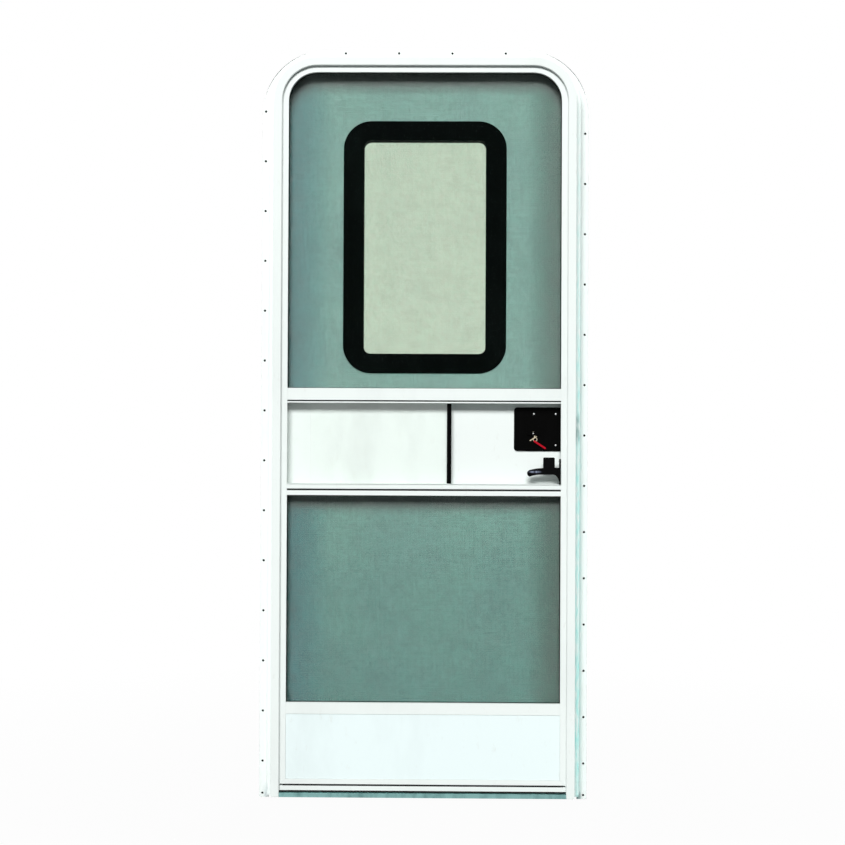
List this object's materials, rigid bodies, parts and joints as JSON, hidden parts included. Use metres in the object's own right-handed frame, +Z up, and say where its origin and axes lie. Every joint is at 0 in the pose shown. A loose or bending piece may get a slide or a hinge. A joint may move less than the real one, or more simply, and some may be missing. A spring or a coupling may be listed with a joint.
{
  "type": "caravan entry door",
  "caption": "Radius-corner caravan entry door in an aluminium jamb, with a window, lock and a screen door that has a sliding hatch and a lever latch.",
  "frame": {"origin": "on the mounting face of the flange, in the middle of the head", "axes": "+X to the lock side, +Y out of the caravan, +Z up"},
  "size_m": [0.818, 0.0839, 1.874],
  "materials": {
    "white_paint": "gloss white",
    "mill_aluminium": "mill",
    "steel": "plated",
    "seal_rubber": "matt black",
    "pile": "grey pile",
    "fly_mesh": "coated fibre mesh",
    "clear_acrylic": "clear",
    "black_plastic": "satin black",
    "foam": "foam board",
    "window_glass": "tinted",
    "tie_plastic": "natural",
    "tag_plastic": "red"
  },
  "bodies": {
    "jamb": {"jamb_frame": "white_paint", "threshold": "mill_aluminium", "jamb_bulb_seal": "seal_rubber", "jamb_pile_seal": "pile", "latch_strike_plate": "steel", "screen_strike_plate": "steel", "hinge_jamb_leaf_bottom": "mill_aluminium", "hinge_jamb_leaf_middle": "mill_aluminium", "hinge_jamb_leaf_top": "mill_aluminium"},
    "screen_door": {"screen_frame": "white_paint", "screen_bottom_rail": "white_paint", "kick_rail": "white_paint", "slider_bottom_rail": "white_paint", "slider_top_rail": "white_paint", "kick_panel": "white_paint", "upper_screen_mesh": "fly_mesh", "lower_screen_mesh": "fly_mesh", "upper_screen_spline": "seal_rubber", "lower_screen_spline": "seal_rubber", "fixed_hatch_panel": "clear_acrylic", "screen_latch_base": "black_plastic", "hinge_screen_leaf_bottom": "mill_aluminium", "hinge_screen_leaf_middle": "mill_aluminium", "hinge_screen_leaf_top": "mill_aluminium"},
    "hatch_slider": {"sliding_hatch_panel": "clear_acrylic", "slider_pull": "black_plastic"},
    "latch_lever": {"screen_latch_lever": "black_plastic"},
    "entry_door": {"door_edge_trim": "white_paint", "door_core": "foam", "door_outer_skin": "white_paint", "door_inner_skin": "white_paint", "window_outer_ring": "black_plastic", "window_inner_ring": "black_plastic", "window_glass": "window_glass", "lock_inner_plate": "black_plastic", "lock_thumb_turn": "black_plastic", "key_tie": "tie_plastic", "red_tag": "tag_plastic", "lock_outer_housing": "black_plastic", "lock_outer_paddle": "black_plastic", "lock_key_cylinder": "steel", "lock_bolt": "steel", "hinge_door_leaf_bottom": "mill_aluminium", "hinge_door_leaf_middle": "mill_aluminium", "hinge_door_leaf_top": "mill_aluminium"}
  },
  "joints": [
    {"name": "screen_door_hinge", "type": "hinge", "parent": "jamb", "child": "screen_door", "pos_m": [-0.39, 0.0105, -0.83319], "axis": [0, 0, 1], "range_deg": [0, 85]},
    {"name": "entry_door_hinge", "type": "hinge", "parent": "screen_door", "child": "entry_door", "pos_m": [-0.39, 0.0105, -0.83319], "axis": [0, 0, 1], "range_deg": [0, 85]},
    {"name": "hatch_slide", "type": "slide", "parent": "screen_door", "child": "hatch_slider", "axis": [1, 0, 0], "range_m": [0, 0.264]},
    {"name": "screen_latch_pivot", "type": "hinge", "parent": "screen_door", "child": "latch_lever", "pos_m": [0.325, -0.04625, -1.0447], "axis": [0, -1, 0], "range_deg": [0, 10], "stiffness_Nm_per_rad": 0.2, "springref_deg": -20.05}
  ]
}
